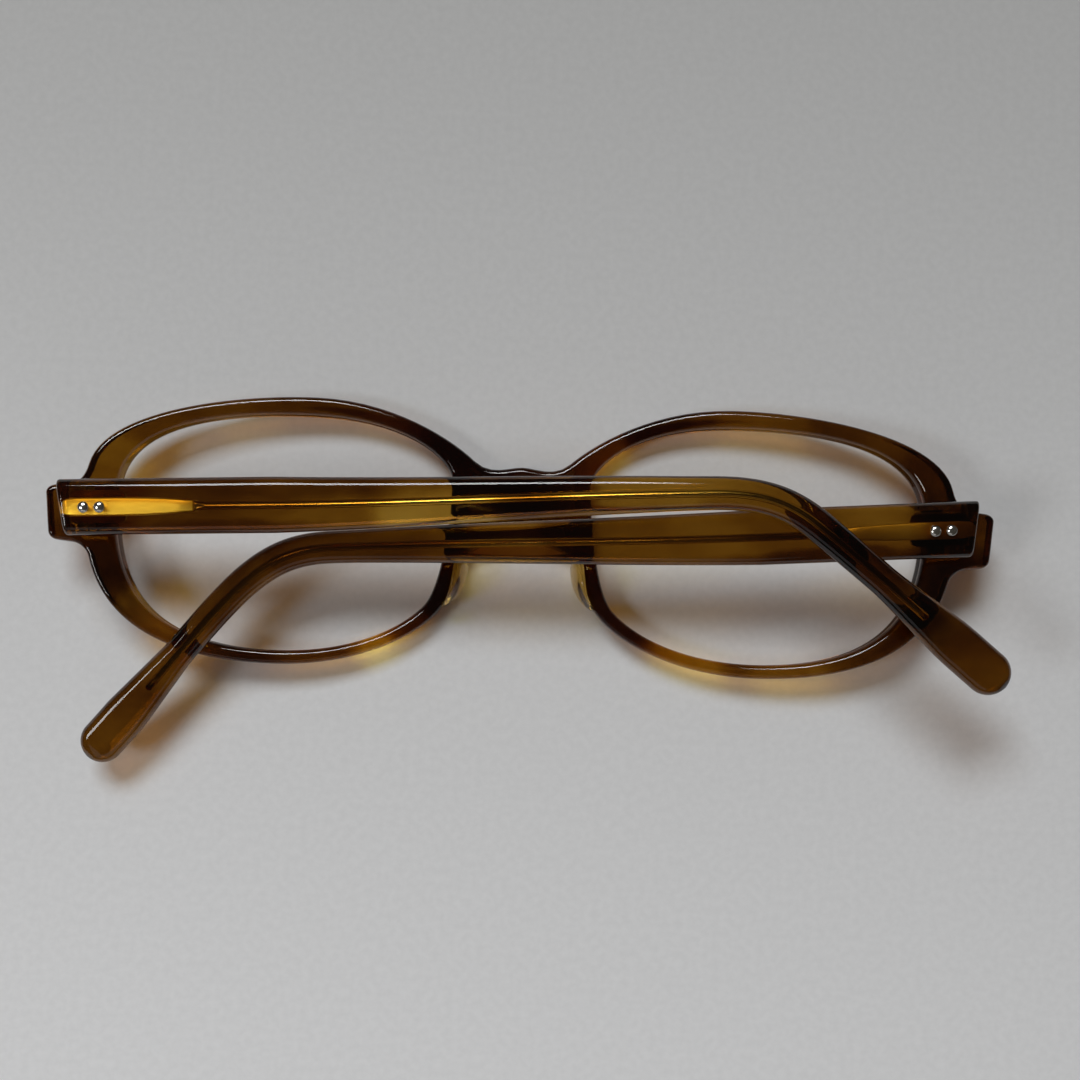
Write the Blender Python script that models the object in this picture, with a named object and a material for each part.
"""Acetate eyeglasses frame with riveted hinges, lying face down with its temples folded.

+X is the wearer's right, +Y is the brow and +Z points from the front to the wearer.
The flat front face of the bridge rests on Z = 0. The left temple lies over the right one.
"""

from math import cos, pi, radians, sin, sqrt

import bmesh
import bpy
from mathutils import Matrix, Vector
from mathutils.geometry import interpolate_bezier

MM = 0.001
GAP = 0.15 * MM  # between pieces that touch

# Front. It is bent round the face: flat at the bridge, then rising as a parabola.
HALF_WIDTH = 68.2 * MM
FLAT_HALF = 8.0 * MM
WRAP_RISE = 6.0 * MM
FRONT_THICKNESS = 4.0 * MM
FRONT_ROUND = 0.8 * MM
GROOVE_DEPTH = 0.6 * MM
GROOVE_HALF_WIDTH = 0.8 * MM
LENS_CENTRE = Vector((34.3, -2.3)) * MM

# Outlines of the right half, clockwise, in millimetres. Each point has the angle of its
# tangent in degrees and the lengths of its handles, before it and after it.
OPENING = (
    (31.2, 15.0, 0, 14.0, 14.5),
    (58.7, 2.5, -90, 9.8, 11.0),
    (35.0, -20.0, 180, 21.5, 11.0),
    (14.0, -12.9, 133, 4.5, 2.5),
    (10.2, 5.0, 94, 11.0, 4.0),
)
OUTLINE = (
    (0.0, 8.2, 0, 0.0, 1.9),
    (7.1, 8.9, 42, 3.2, 5.0),
    (30.8, 17.6, 0, 11.2, 11.4),
    (62.7, 6.0, -78, 8.6, 1.6),
    (64.9, 3.1, -8, 1.1, 0.6),
    (66.9, 2.8, -8, 0.6, 0.8),
    (68.2, 1.5, -97, 0.7, 1.8),
    (67.6, -4.0, -98, 1.8, 0.7),
    (66.2, -5.2, -176, 0.8, 0.6),
    (64.2, -5.4, -172, 0.6, 0.8),
    (62.0, -7.4, -105, 1.2, 8.0),
    (35.1, -22.0, 180, 18.0, 12.5),
    (11.2, -12.8, 122, 4.5, 3.0),
    (9.4, -6.5, 98, 3.0, 2.5),
    (0.0, -2.8, 180, 5.5, 0.0),
)
OUTLINE_STEPS = (2, 4, 7, 2, 1, 3, 1, 3, 1, 3, 7, 6, 3, 5)
BRIDGE_STEPS = 5

# Hinges. The pin stands off both faces, and the butt stops the temple on the front.
PIN_X = 62.8 * MM
PIN_Y = {"left": -0.5 * MM, "right": 0.4 * MM}
PIN_STANDOFF = 2.2 * MM
STOP_GAP = 0.3 * MM  # left between the butt and the front when open
PANTOSCOPIC = radians(8.0)
FOLDED_SLOPE = {"left": radians(2.1), "right": radians(-3.9)}
FOLDED_LIFT = {"left": radians(3.1), "right": radians(-1.95)}
BARREL_RADIUS = 1.15 * MM
BARREL_LENGTH = 4.6 * MM
KNUCKLE_GAP = 0.3 * MM
PIN_HOLE_RADIUS = 0.75 * MM
WEB_WIDTH = 2.0 * MM
LEAF_THICKNESS = 0.6 * MM
FRONT_LEAF_SIZE = (2.9 * MM, 7.6 * MM)
FRONT_LEAF_SHIFT = 0.6 * MM  # from the pin towards the bridge
TEMPLE_LEAF_START = 0.8 * MM
TEMPLE_LEAF_SIZE = (8.0 * MM, 4.4 * MM)
SCREW_RADIUS = 0.6 * MM
SCREW_HEAD_RADIUS = 1.1 * MM
SCREW_HEAD_HEIGHT = 0.7 * MM

# Rivets: a domed head outside, and a shank through to the leaf.
RIVET_RADIUS = 0.45 * MM
RIVET_HOLE_RADIUS = 0.6 * MM
RIVET_HEAD_RADIUS = 0.8 * MM
RIVET_HEAD_HEIGHT = 0.35 * MM
TEMPLE_RIVETS = (3.75 * MM, 6.0 * MM)
FRONT_RIVET_OFFSET = 3.0 * MM

# Temple, along its spine from the butt: (along, up, angle, handles) in millimetres. The two
# tips were bent a little differently, to fit one wearer's ears.
SPINE_START = (
    (0.0, 0.0, 0, 0.0, 9.0),
    (30.0, 0.0, 0, 9.0, 19.0),
    (90.0, 0.95, 0, 19.0, 5.4),
)
SPINE = {
    "left": (*SPINE_START, (103.8, -3.1, -38, 5.4, 6.5), (130.0, -26.1, -41, 9.0, 0.0)),
    "right": (*SPINE_START, (103.0, -3.6, -38, 5.4, 6.5), (127.3, -27.9, -42, 9.0, 0.0)),
}
SPINE_STEPS = (2, 3, 6, 4)
TEMPLE_THICKNESS = (3.6 * MM, 3.0 * MM)
TEMPLE_HEIGHTS = ((0.0, 7.8), (30.0, 7.8), (88.0, 4.65), (118.0, 4.3), (130.0, 6.3), (140.0, 6.3))
TEMPLE_ROUND = 1.1 * MM
TIP_ROUND = 3.2 * MM
TIP_STEPS = 4
TIP_CURL = 1.8 * MM
CURL_START = 70.0 * MM

# Core wire inside the temple: a flat plate at the hinge and a round wire to the tip.
CORE_START = 0.4 * MM
CORE_PLATE_LENGTH = 18.6 * MM
CORE_PLATE_SIZE = (2.4 * MM, 0.8 * MM)
CORE_NECK = 1.5 * MM
CORE_WIRE_RADIUS = 0.55 * MM
CORE_END = 125.0 * MM
CORE_CLEARANCE = 0.25 * MM

# Nose pads, glued to the wall on the nose side of each rim. There is one section at each
# corner of the wall, going up: (overhang, bottom, top) in millimetres.
PAD_FOOT = 12  # the outline anchor where the lowest section is
PAD_SECTIONS = (
    (0.7, 2.6, 5.2),
    (1.6, 1.6, 7.6),
    (2.2, 1.3, 8.3),
    (2.3, 1.4, 7.8),
    (1.8, 2.0, 6.6),
    (0.7, 3.0, 4.6),
)
PAD_PROFILE = (  # shares of the overhang and of the height, round one section
    (0.0, 0.04),
    (0.45, 0.0),
    (0.85, 0.06),
    (1.0, 0.20),
    (0.92, 0.42),
    (0.74, 0.68),
    (0.58, 0.88),
    (0.40, 0.99),
    (0.15, 1.0),
    (0.0, 0.92),
)

MATERIALS = {
    "front_acetate": ((0.20, 0.085, 0.02), 0.10, 0.0),
    "temple_acetate": ((0.24, 0.11, 0.025), 0.10, 0.0),
    "pad_acetate": ((0.50, 0.38, 0.16), 0.15, 0.0),
    "core_metal": ((0.80, 0.62, 0.30), 0.30, 1.0),
    "hinge_metal": ((0.66, 0.62, 0.55), 0.30, 1.0),
    "rivet_metal": ((0.82, 0.82, 0.80), 0.18, 1.0),
}


def clear_scene():
    for old in list(bpy.data.objects):
        bpy.data.objects.remove(old, do_unlink=True)


def material(name):
    colour, roughness, metallic = MATERIALS[name]
    made = bpy.data.materials.get(name) or bpy.data.materials.new(name)
    made.use_nodes = True
    shader = made.node_tree.nodes["Principled BSDF"]
    shader.inputs["Base Color"].default_value = (*colour, 1.0)
    shader.inputs["Roughness"].default_value = roughness
    shader.inputs["Metallic"].default_value = metallic
    return made


def new_object(name, points, faces, slot, matrix=None):
    mesh = bpy.data.meshes.new(name)
    mesh.from_pydata([tuple(point) for point in points], [], faces)
    if matrix is not None:
        mesh.transform(matrix)
    shaped = bmesh.new()
    shaped.from_mesh(mesh)
    bmesh.ops.recalc_face_normals(shaped, faces=shaped.faces)
    shaped.to_mesh(mesh)
    shaped.free()
    mesh.materials.append(material(slot))
    mesh.shade_smooth()
    mesh.set_sharp_from_angle(angle=radians(35))
    made = bpy.data.objects.new(name, mesh)
    bpy.context.scene.collection.objects.link(made)
    return made


def combine(target, other, operation):
    """Applies a Boolean to the target's mesh and removes the other object."""
    step = target.modifiers.new(operation.lower(), "BOOLEAN")
    step.operation = operation
    step.solver = "EXACT"
    step.object = other
    bpy.context.view_layer.update()
    graph = bpy.context.evaluated_depsgraph_get()
    result = bpy.data.meshes.new_from_object(target.evaluated_get(graph))
    target.modifiers.clear()
    target.data = result
    bpy.data.objects.remove(other, do_unlink=True)


def bezier_path(anchors, steps):
    """Points along a path of Bezier curves, and the last point."""
    points = []
    for (x0, y0, turn0, _, after), (x1, y1, turn1, before, _), count in zip(anchors, anchors[1:], steps):
        start = Vector((x0, y0)) * MM
        end = Vector((x1, y1)) * MM
        leave = start + after * MM * Vector((cos(radians(turn0)), sin(radians(turn0))))
        arrive = end - before * MM * Vector((cos(radians(turn1)), sin(radians(turn1))))
        points += interpolate_bezier(start, leave, arrive, end, count + 1)[:-1]
    return points + [end]


def normals_to_right(points, closed):
    """Unit normals on the right-hand side of a path."""
    count = len(points)
    found = []
    for i in range(count):
        before = points[i - 1] if closed or i > 0 else points[i]
        after = points[(i + 1) % count] if closed or i < count - 1 else points[i]
        along = (after - before).normalized()
        found.append(Vector((along.y, -along.x)))
    return found


def wrap(x):
    """Height of the bent front above its flat middle."""
    out = max(abs(x) - FLAT_HALF, 0.0) / (HALF_WIDTH - FLAT_HALF)
    return WRAP_RISE * out * out


def back_height(x):
    return FRONT_THICKNESS + wrap(x)


def on_opening(dense, target):
    """Index of the point of the opening's edge that lies in the direction of the target."""
    ray = (target - LENS_CENTRE).normalized()
    return max(range(len(dense)), key=lambda i: (dense[i] - LENS_CENTRE).normalized().dot(ray))


def edge_rings(segments):
    """Inset and height of each ring of a rounded edge, from the wall to the face."""
    half = FRONT_THICKNESS / 2
    rings = []
    for k in range(segments + 1):
        turn = pi / 2 * k / segments
        rings.append((FRONT_ROUND * (1 - cos(turn)), half - FRONT_ROUND + FRONT_ROUND * sin(turn)))
    return rings


def front_columns():
    """Pairs of matched edge points: (opening point, opening normal, outer point, outer normal)."""
    outer = bezier_path(OUTLINE, OUTLINE_STEPS)
    inward = normals_to_right(outer, closed=False)
    inward[0] = Vector((0, -1))
    inward[-1] = Vector((0, 1))
    dense = bezier_path(OPENING + OPENING[:1], (60,) * len(OPENING))[:-1]
    away = [-normal for normal in normals_to_right(dense, closed=True)]
    columns = []
    for point, normal in zip(outer, inward):
        at = on_opening(dense, point + FRONT_ROUND * normal)
        columns.append((dense[at], away[at], point, normal))
    top = outer[0].y - FRONT_ROUND
    bottom = outer[-1].y + FRONT_ROUND
    for k in range(1, BRIDGE_STEPS):
        point = Vector((0, bottom + (top - bottom) * k / BRIDGE_STEPS))
        at = on_opening(dense, point)
        columns.append((dense[at], away[at], point, None))
    return columns


def make_front():
    """One half is built as strips round the opening, mirrored, and joined at the bridge."""
    rings = edge_rings(2)
    face = rings[-1][1]
    points = []
    faces = []

    def add(place, height):
        points.append((place.x, place.y, FRONT_THICKNESS / 2 + wrap(place.x) + height))
        return len(points) - 1

    sheets = []
    for inner, away, outer, normal in front_columns():
        column = {}
        start = inner + FRONT_ROUND * away
        end = outer if normal is None else outer + FRONT_ROUND * normal
        for side in (1, -1):
            column[side] = [add(inner + inset * away, side * height) for inset, height in rings]
            column[side].append(add((start + end) / 2, side * face))
            column[side].append(add(end, side * face))
            if normal is not None:
                rim = [add(outer + inset * normal, side * height) for inset, height in rings[-2::-1]]
                column["rim", side] = [column[side][-1]] + rim
        column["groove"] = [
            column[1][0],
            add(inner, GROOVE_HALF_WIDTH),
            add(inner + GROOVE_DEPTH * away, 0.0),
            add(inner, -GROOVE_HALF_WIDTH),
            column[-1][0],
        ]
        sheets.append(column)

    def strip(first, second, key):
        a = first[key]
        b = second[key]
        for k in range(len(a) - 1):
            faces.append((a[k], a[k + 1], b[k + 1], b[k]))

    for here, there in zip(sheets, sheets[1:] + sheets[:1]):
        for key in (1, -1, "groove"):
            strip(here, there, key)
        if ("rim", 1) in here and ("rim", 1) in there:
            for side in (1, -1):
                strip(here, there, ("rim", side))
            faces.append((here["rim", 1][-1], here["rim", -1][-1], there["rim", -1][-1], there["rim", 1][-1]))

    count = len(points)
    points += [(-x, y, z) for x, y, z in points]
    faces += [tuple(count + corner for corner in reversed(quad)) for quad in list(faces)]
    made = new_object("front", points, faces, "front_acetate")
    shaped = bmesh.new()
    shaped.from_mesh(made.data)
    bmesh.ops.remove_doubles(shaped, verts=shaped.verts, dist=0.00001)
    bmesh.ops.recalc_face_normals(shaped, faces=shaped.faces)
    shaped.to_mesh(made.data)
    shaped.free()
    return made


def hinge_frame(side):
    """Pin, folded direction, hinge axis and outward normal of a temple at rest."""
    hand = 1 if side == "right" else -1
    slope = FOLDED_SLOPE[side]
    lift = FOLDED_LIFT[side]
    folded = Vector((-hand * cos(slope) * cos(lift), sin(slope) * cos(lift), sin(lift)))
    opened = Vector((0, -sin(PANTOSCOPIC), cos(PANTOSCOPIC)))
    axis = hand * folded.cross(opened).normalized()
    outward = hand * axis.cross(folded)
    normal = surface_normal(hand * PIN_X)
    pin = Vector((hand * PIN_X, PIN_Y[side], back_height(PIN_X))) + PIN_STANDOFF * normal
    return pin, folded, axis, outward


def surface_normal(x):
    """Unit normal of the front's back face."""
    step = 0.1 * MM
    slope = (wrap(x + step) - wrap(x - step)) / (2 * step)
    return Vector((-slope, 0, 1)).normalized()


def frame_matrix(x_axis, y_axis, z_axis, origin):
    return Matrix((
        (x_axis.x, y_axis.x, z_axis.x, origin.x),
        (x_axis.y, y_axis.y, z_axis.y, origin.y),
        (x_axis.z, y_axis.z, z_axis.z, origin.z),
        (0, 0, 0, 1),
    ))


def temple_matrix(side):
    """From temple space (along, up, outward; zero at the butt's middle) to the world."""
    pin, folded, axis, outward = hinge_frame(side)
    to_butt = butt_cut(side)[0]
    origin = pin - to_butt * folded + (PIN_STANDOFF + TEMPLE_THICKNESS[0] / 2) * outward
    return frame_matrix(folded, axis, outward, origin)


def butt_cut(side):
    """The butt's plane, which meets the front when open: its distance from the pin along
    the temple, and how far it runs along the temple for each unit up and outward."""
    hand = 1 if side == "right" else -1
    _, _, axis, _ = hinge_frame(side)
    opened = Vector((0, -sin(PANTOSCOPIC), cos(PANTOSCOPIC)))
    opened_outward = hand * axis.cross(opened)
    normal = surface_normal(hand * PIN_X)
    along = normal.dot(opened)
    up_slant = -normal.dot(axis) / along
    out_slant = -normal.dot(opened_outward) / along
    middle = PIN_STANDOFF + TEMPLE_THICKNESS[0] / 2
    return (PIN_STANDOFF - STOP_GAP) / along - out_slant * middle, up_slant, out_slant


def interpolate(table, at):
    for (x0, y0), (x1, y1) in zip(table, table[1:]):
        if at <= x1:
            return y0 + (y1 - y0) * (at - x0) / (x1 - x0)
    return table[-1][1]


def spine_stations(side):
    """Points of the spine with their distance from the butt and their direction."""
    points = bezier_path(SPINE[side], SPINE_STEPS)
    total = 0.0
    stations = []
    for i, point in enumerate(points):
        if i:
            total += (point - points[i - 1]).length
        before = points[max(i - 1, 0)]
        after = points[min(i + 1, len(points) - 1)]
        stations.append((total, point, (after - before).normalized()))
    return stations


def spine_at(side, distance):
    stations = spine_stations(side)
    for (s0, p0, d0), (s1, p1, d1) in zip(stations, stations[1:]):
        if distance <= s1:
            part = (distance - s0) / (s1 - s0)
            return p0.lerp(p1, part), d0.lerp(d1, part).normalized()
    return stations[-1][1], stations[-1][2]


def curl(side, distance):
    """How far the temple has curved inward, towards the head."""
    length = spine_stations(side)[-1][0]
    out = max(distance - CURL_START, 0.0) / (length - CURL_START)
    return -TIP_CURL * out * out


def section(height, thickness, round_by, segments):
    """Corner points of a rounded rectangle, as (up, outward)."""
    radius = min(round_by, height / 2, thickness / 2)
    corners = []
    for turn, (up, out) in enumerate(((1, 1), (-1, 1), (-1, -1), (1, -1))):
        for k in range(segments + 1):
            angle = pi / 2 - pi / 2 * (turn + k / segments)
            middle = (up * (height / 2 - radius), out * (thickness / 2 - radius))
            corners.append((middle[0] + radius * sin(angle), middle[1] + radius * cos(angle)))
    return corners


def loft(loops):
    """Joins loops of equal size with quads and closes both ends."""
    size = len(loops[0])
    points = [point for loop in loops for point in loop]
    faces = [tuple(reversed(range(size)))]
    for i in range(len(loops) - 1):
        for k in range(size):
            step = (k + 1) % size
            faces.append((i * size + k, i * size + step, (i + 1) * size + step, (i + 1) * size + k))
    faces.append(tuple((len(loops) - 1) * size + k for k in range(size)))
    return points, faces


def temple_loops(side, slants):
    length = spine_stations(side)[-1][0]
    distances = [s for s, _, _ in spine_stations(side) if s < length - 1.2 * TIP_ROUND]
    distances += [length - TIP_ROUND * (1 - sin(pi / 2 * k / TIP_STEPS)) for k in range(TIP_STEPS)]
    distances.append(length - 0.02 * TIP_ROUND)
    loops = []
    for distance in distances:
        point, along = spine_at(side, distance)
        height = interpolate(TEMPLE_HEIGHTS, distance / MM) * MM
        thickness = TEMPLE_THICKNESS[0] + (TEMPLE_THICKNESS[1] - TEMPLE_THICKNESS[0]) * distance / length
        past = max(distance - (length - TIP_ROUND), 0.0) / TIP_ROUND
        height *= sqrt(max(1 - past * past, 0.0))
        thickness *= 1 - 0.75 * past ** 4
        up = Vector((-along.y, along.x))
        loop = []
        for rise, out in section(height, thickness, TEMPLE_ROUND, 2):
            place = point + rise * up
            loop.append(Vector((place.x, place.y, out + curl(side, distance))))
        if distance == 0.0:
            for corner in loop:
                corner.x = slants[0] * corner.y + slants[1] * corner.z
        loops.append(loop)
    return loops


def core_loops(side, clearance, start, end):
    """The core's shape along the spine. A clearance makes it the bore that holds it."""
    plate_end = CORE_START + CORE_PLATE_LENGTH
    wire = 2 * CORE_WIRE_RADIUS
    widths = (
        (start, CORE_PLATE_SIZE[0], CORE_PLATE_SIZE[1]),
        (plate_end, CORE_PLATE_SIZE[0] * 0.85, CORE_PLATE_SIZE[1]),
        (plate_end + CORE_NECK, wire, wire),
    )
    path = [(s, w, t) for s, w, t in widths]
    path += [(s, wire, wire) for s, _, _ in spine_stations(side) if plate_end + 2 * CORE_NECK < s < end - MM]
    path.append((end, wire, wire))
    loops = []
    for distance, width, thickness in path:
        point, along = spine_at(side, max(distance, 0.0))
        if distance < 0:
            point = Vector((distance, 0))
        up = Vector((-along.y, along.x))
        loop = []
        for k in range(8):
            angle = 2 * pi * (k + 0.5) / 8
            rise = (width / 2 + clearance) * cos(angle) / cos(pi / 8)
            out = (thickness / 2 + clearance) * sin(angle) / cos(pi / 8)
            place = point + rise * up
            loop.append(Vector((place.x, place.y, out + curl(side, distance))))
        loops.append(loop)
    return loops


def cylinder(name, start, end, radius, sides, slot, end_radius=None):
    """A round bar between two points, or a cone when the end radius differs."""
    along = (end - start).normalized()
    across = along.orthogonal().normalized()
    other = along.cross(across)
    loops = []
    for centre, size in ((start, radius), (end, radius if end_radius is None else end_radius)):
        loops.append([
            centre + size * (cos(2 * pi * k / sides) * across + sin(2 * pi * k / sides) * other)
            for k in range(sides)
        ])
    points, faces = loft(loops)
    return new_object(name, points, faces, slot)


def box(name, lower, upper, matrix, slot):
    """A box between two corners of the given space."""
    points = [
        (x, y, z) for x in (lower[0], upper[0]) for y in (lower[1], upper[1]) for z in (lower[2], upper[2])
    ]
    faces = [(0, 1, 3, 2), (4, 6, 7, 5), (0, 4, 5, 1), (2, 3, 7, 6), (0, 2, 6, 4), (1, 5, 7, 3)]
    return new_object(name, points, faces, slot, matrix)


def rounded_plate(name, centre, size, bottom, top, matrix, slot, corner=0.8 * MM):
    """A flat plate with rounded corners, standing between two heights."""
    loops = []
    for level in (bottom, top):
        loops.append([
            (centre[0] + x, centre[1] + y, level) for x, y in section(size[0], size[1], corner, 2)
        ])
    points, faces = loft(loops)
    return new_object(name, points, faces, slot, matrix)


def make_temple(side):
    matrix = temple_matrix(side)
    points, faces = loft(temple_loops(side, butt_cut(side)[1:]))
    temple = new_object(f"temple_{side}", points, faces, "temple_acetate", matrix)
    points, faces = loft(core_loops(side, CORE_CLEARANCE, -2 * MM, CORE_END + CORE_CLEARANCE))
    combine(temple, new_object("bore", points, faces, "temple_acetate", matrix), "DIFFERENCE")
    for along in TEMPLE_RIVETS:
        start = matrix @ Vector((along, 0, -TEMPLE_THICKNESS[0]))
        end = matrix @ Vector((along, 0, TEMPLE_THICKNESS[0]))
        combine(temple, cylinder("hole", start, end, RIVET_HOLE_RADIUS, 10, "temple_acetate"), "DIFFERENCE")
    return temple


def make_core(side):
    matrix = temple_matrix(side)
    points, faces = loft(core_loops(side, 0.0, CORE_START, CORE_END))
    core = new_object(f"core_wire_{side}", points, faces, "core_metal", matrix)
    for along in TEMPLE_RIVETS:
        start = matrix @ Vector((along, 0, -TEMPLE_THICKNESS[0]))
        end = matrix @ Vector((along, 0, TEMPLE_THICKNESS[0]))
        combine(core, cylinder("hole", start, end, RIVET_HOLE_RADIUS, 10, "core_metal"), "DIFFERENCE")
    return core


def knuckle_spans():
    """Spans of the three knuckles along the pin: front, temple, front."""
    each = (BARREL_LENGTH - 2 * KNUCKLE_GAP) / 3
    spans = []
    for k in range(3):
        start = -BARREL_LENGTH / 2 + k * (each + KNUCKLE_GAP)
        spans.append((start, start + each))
    return spans


def add_knuckle(leaf, pin_matrix, span, reach):
    """Joins one knuckle to a leaf. Pin space has the pin as Y and the leaf towards -Z."""
    start = pin_matrix @ Vector((0, span[0], 0))
    end = pin_matrix @ Vector((0, span[1], 0))
    web = box("web", (-WEB_WIDTH / 2, span[0], -reach), (WEB_WIDTH / 2, span[1], 0), pin_matrix, "hinge_metal")
    combine(web, cylinder("barrel", start, end, BARREL_RADIUS, 16, "hinge_metal"), "UNION")
    combine(leaf, web, "UNION")


def bore_leaf(leaf, pin_matrix):
    start = pin_matrix @ Vector((0, -BARREL_LENGTH, 0))
    end = pin_matrix @ Vector((0, BARREL_LENGTH, 0))
    combine(leaf, cylinder("bore", start, end, PIN_HOLE_RADIUS, 12, "hinge_metal"), "DIFFERENCE")


def front_leaf_matrix(side):
    """Leaf space on the back face of the front: Z is the face's normal, Y follows the pin."""
    hand = 1 if side == "right" else -1
    pin, _, axis, _ = hinge_frame(side)
    normal = surface_normal(hand * PIN_X)
    upright = (axis - axis.dot(normal) * normal).normalized()
    return frame_matrix(upright.cross(normal), upright, normal, pin - PIN_STANDOFF * normal)


def front_rivet_places(side):
    """Centres of the front's two rivets, in leaf space."""
    shift = -FRONT_LEAF_SHIFT if side == "right" else FRONT_LEAF_SHIFT
    return (shift, -FRONT_RIVET_OFFSET), (shift, FRONT_RIVET_OFFSET)


def make_front_leaf(side):
    matrix = front_leaf_matrix(side)
    pin, _, axis, _ = hinge_frame(side)
    normal = matrix.to_3x3() @ Vector((0, 0, 1))
    lift = (normal - normal.dot(axis) * axis).normalized()
    pin_matrix = frame_matrix(axis.cross(lift), axis, lift, pin)
    top = GAP + LEAF_THICKNESS
    centre = (front_rivet_places(side)[0][0], 0)
    leaf = rounded_plate(
        f"front_hinge_leaf_{side}", centre, FRONT_LEAF_SIZE, GAP, top, matrix, "hinge_metal"
    )
    spans = knuckle_spans()
    for span in (spans[0], spans[2]):
        rise = PIN_STANDOFF + axis.dot(normal) * (span[0] + span[1]) / 2
        add_knuckle(leaf, pin_matrix, span, rise - GAP - LEAF_THICKNESS / 2)
    bore_leaf(leaf, pin_matrix)
    for x, y in front_rivet_places(side):
        start = matrix @ Vector((x, y, -MM))
        end = matrix @ Vector((x, y, 2 * MM))
        combine(leaf, cylinder("hole", start, end, RIVET_HOLE_RADIUS, 10, "hinge_metal"), "DIFFERENCE")
    return leaf


def make_temple_leaf(side):
    matrix = temple_matrix(side)
    pin, folded, axis, outward = hinge_frame(side)
    inner = -TEMPLE_THICKNESS[0] / 2
    centre = (TEMPLE_LEAF_START + TEMPLE_LEAF_SIZE[0] / 2, 0)
    leaf = rounded_plate(
        f"temple_hinge_leaf_{side}",
        centre,
        TEMPLE_LEAF_SIZE,
        inner - GAP - LEAF_THICKNESS,
        inner - GAP,
        matrix,
        "hinge_metal",
    )
    pin_matrix = frame_matrix(axis.cross(-outward), axis, -outward, pin)
    add_knuckle(leaf, pin_matrix, knuckle_spans()[1], PIN_STANDOFF - GAP - LEAF_THICKNESS / 2)
    bore_leaf(leaf, pin_matrix)
    for along in TEMPLE_RIVETS:
        start = matrix @ Vector((along, 0, -2 * TEMPLE_THICKNESS[0]))
        end = matrix @ Vector((along, 0, 0))
        combine(leaf, cylinder("hole", start, end, RIVET_HOLE_RADIUS, 10, "hinge_metal"), "DIFFERENCE")
    return leaf


def turned(name, profile, origin, along, sides, slot):
    """A turned piece. The profile gives (radius, distance) from one end to the other."""
    across = along.orthogonal().normalized()
    other = along.cross(across)
    loops = []
    for radius, distance in profile:
        centre = origin + distance * along
        loops.append([
            centre + radius * (cos(2 * pi * k / sides) * across + sin(2 * pi * k / sides) * other)
            for k in range(sides)
        ])
    points, faces = loft(loops)
    return new_object(name, points, faces, slot)


def make_rivet(name, outside, inward, depth):
    """A rivet whose domed head sits on the outside face."""
    head = RIVET_HEAD_HEIGHT
    profile = (
        (0.35 * RIVET_HEAD_RADIUS, -GAP - head),
        (0.75 * RIVET_HEAD_RADIUS, -GAP - 0.75 * head),
        (RIVET_HEAD_RADIUS, -GAP - 0.15 * head),
        (RIVET_HEAD_RADIUS, -GAP),
        (RIVET_RADIUS, -GAP),
        (RIVET_RADIUS, depth),
    )
    return turned(name, profile, outside, inward, 12, "rivet_metal")


def make_rivets(side):
    """Two rivets through the temple, which are returned, and two through the front."""
    matrix = temple_matrix(side)
    moving = []
    for number, along in enumerate(TEMPLE_RIVETS, 1):
        outside = matrix @ Vector((along, 0, TEMPLE_THICKNESS[0] / 2))
        inward = matrix.to_3x3() @ Vector((0, 0, -1))
        depth = TEMPLE_THICKNESS[0] + GAP + 0.8 * LEAF_THICKNESS
        moving.append(make_rivet(f"temple_rivet_{side}_{number}", outside, inward, depth))
    matrix = front_leaf_matrix(side)
    normal = matrix.to_3x3() @ Vector((0, 0, 1))
    deep = front_depth()
    for number, (x, y) in enumerate(front_rivet_places(side), 1):
        outside = matrix @ Vector((x, y, -deep))
        make_rivet(f"front_rivet_{side}_{number}", outside, normal, deep + GAP + 0.8 * LEAF_THICKNESS)
    return moving


def front_depth():
    """Thickness of the front measured square to its faces at the hinge."""
    return FRONT_THICKNESS * surface_normal(PIN_X).z


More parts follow.
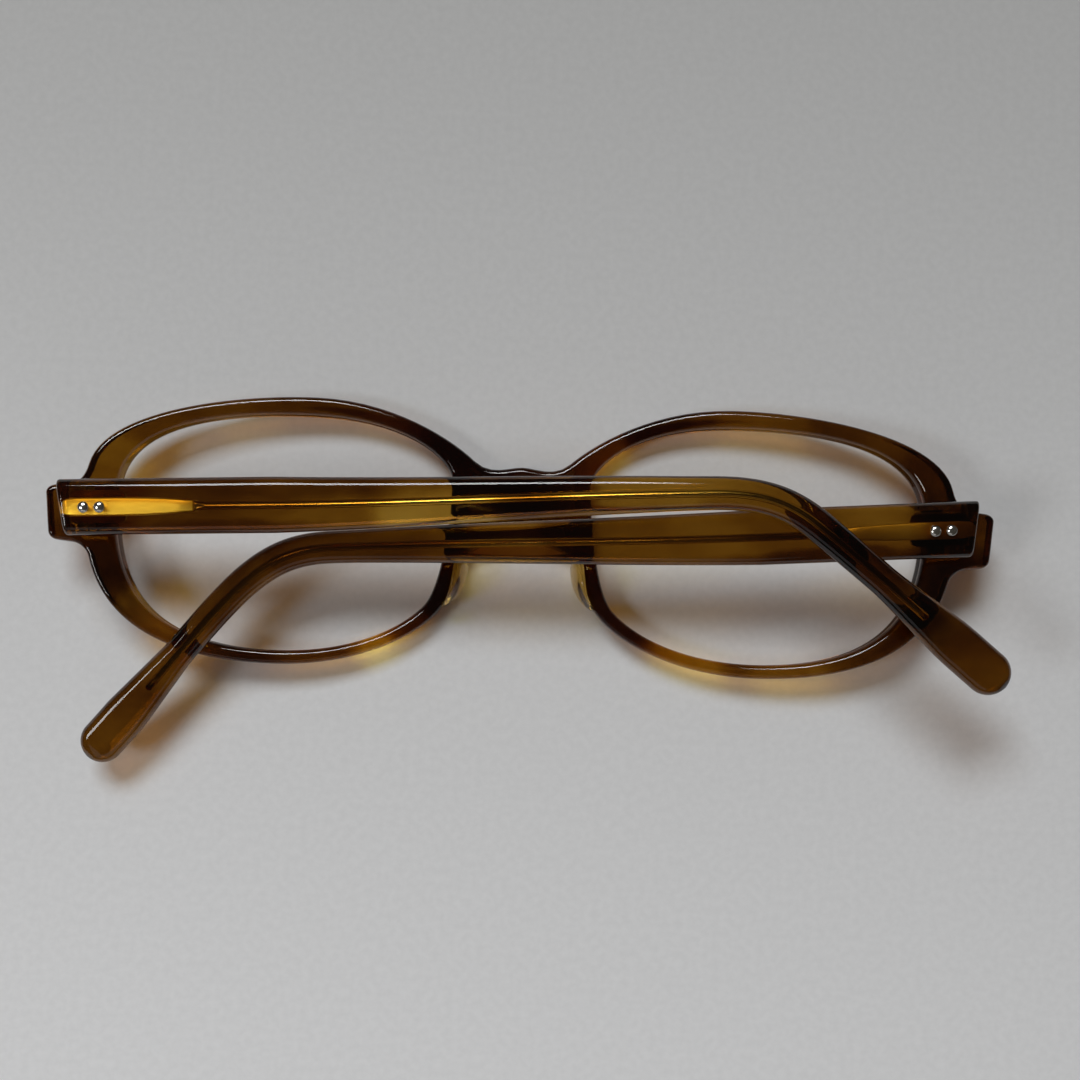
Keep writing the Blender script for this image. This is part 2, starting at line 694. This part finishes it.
def drill_front(front):
    for side in ("left", "right"):
        matrix = front_leaf_matrix(side)
        for x, y in front_rivet_places(side):
            start = matrix @ Vector((x, y, -2 * FRONT_THICKNESS))
            end = matrix @ Vector((x, y, FRONT_THICKNESS))
            hole = cylinder("hole", start, end, RIVET_HOLE_RADIUS, 10, "front_acetate")
            combine(front, hole, "DIFFERENCE")


def make_screw(side):
    """The hinge pin: a screw with its head above the upper knuckle, clear of the barrels."""
    pin, _, axis, _ = hinge_frame(side)
    half = BARREL_LENGTH / 2
    profile = (
        (0.6 * SCREW_RADIUS, -half - 0.5 * MM),
        (SCREW_RADIUS, -half - 0.2 * MM),
        (SCREW_RADIUS, half + GAP),
        (SCREW_HEAD_RADIUS, half + GAP),
        (SCREW_HEAD_RADIUS, half + GAP + 0.7 * SCREW_HEAD_HEIGHT),
        (0.8 * SCREW_HEAD_RADIUS, half + GAP + SCREW_HEAD_HEIGHT),
    )
    return turned(f"hinge_screw_{side}", profile, pin, axis, 16, "hinge_metal")


def make_pad(side):
    """A nose pad on the nose side of the rim. It thins towards the wearer."""
    hand = 1 if side == "right" else -1
    wall = bezier_path(OUTLINE, OUTLINE_STEPS)
    inward = normals_to_right(wall, closed=False)
    foot = sum(OUTLINE_STEPS[:PAD_FOOT])
    loops = []
    for i, (overhang, bottom, top) in enumerate(PAD_SECTIONS):
        loop = []
        for out, up in PAD_PROFILE:
            place = wall[foot + i] - (GAP + out * overhang * MM) * inward[foot + i]
            loop.append(Vector((hand * place.x, place.y, (bottom + up * (top - bottom)) * MM)))
        loops.append(loop)
    points, faces = loft(loops)
    return new_object(f"nose_pad_{side}", points, faces, "pad_acetate")


def hang(side, pieces):
    """Parents a temple's pieces to an empty on its hinge pin. The empty's Y is the hinge axis."""
    pin, _, axis, outward = hinge_frame(side)
    place = frame_matrix(axis.cross(outward), axis, outward, pin)
    hinge = bpy.data.objects.new(f"hinge_{side}", None)
    hinge.empty_display_size = 5 * MM
    hinge.matrix_world = place
    bpy.context.scene.collection.objects.link(hinge)
    for piece in pieces:
        piece.parent = hinge
        piece.matrix_parent_inverse = place.inverted()


def main():
    clear_scene()
    drill_front(make_front())
    for side in ("left", "right"):
        make_pad(side)
        make_front_leaf(side)
        make_screw(side)
        hang(side, [make_temple(side), make_core(side), make_temple_leaf(side), *make_rivets(side)])


main()
